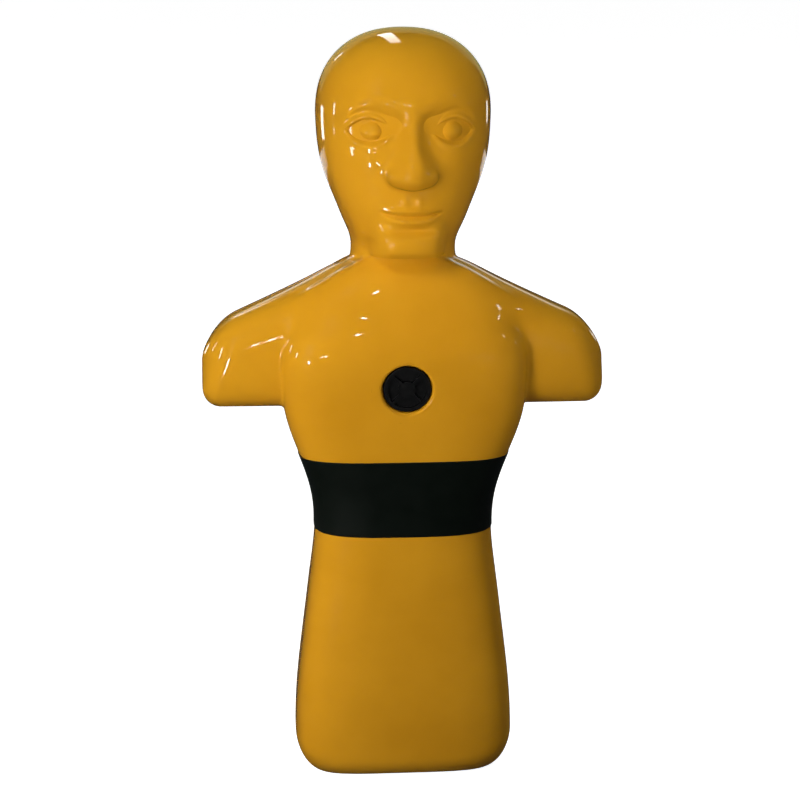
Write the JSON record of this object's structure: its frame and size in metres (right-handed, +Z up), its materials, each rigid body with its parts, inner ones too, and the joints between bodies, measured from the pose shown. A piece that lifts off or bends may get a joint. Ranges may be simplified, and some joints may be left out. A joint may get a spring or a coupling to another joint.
{
  "type": "water rescue training mannequin",
  "caption": "Hollow moulded head-and-torso training mannequin with short arm stumps, a dark waist band and a screw-in fill plug in the chest, standing on a flat base.",
  "frame": {"origin": "centre of the flat underside of the base, on the parting plane between the two shell halves", "axes": "+Z up through the head, -Y the way the face and chest look, +X the mannequin's left"},
  "size_m": [0.528, 0.2416, 1],
  "materials": {
    "shell": "glossy amber yellow moulded plastic",
    "strip": "plain amber plastic strip bonded over the joint inside",
    "band": "smooth satin black elastic band",
    "fitting": "black moulded plastic fitting",
    "plug": "black moulded plastic with a slight sheen",
    "seal": "matt black sealing rubber"
  },
  "bodies": {
    "manikin": {"front_shell": "shell", "rear_shell": "shell", "seam_strip": "strip", "waist_band": "band", "fill_neck": "fitting", "neck_washer": "seal", "neck_nut": "fitting"},
    "gasket": {"plug_gasket": "seal"},
    "plug": {"fill_plug": "plug"}
  },
  "joints": [
    {"name": "plug_lift", "type": "slide", "parent": "manikin", "child": "gasket", "axis": [0, -0.9903, -0.1392], "range_m": [0, 0.016]},
    {"name": "plug_turn", "type": "hinge", "parent": "gasket", "child": "plug", "pos_m": [0, -0.0925, 0.549], "axis": [0, -0.9903, -0.1392], "range_deg": [0, 1440]}
  ],
  "couplings": [
    {"joint": "plug_lift", "follows": "plug_turn", "m_per_rad": 0.00063662}
  ]
}
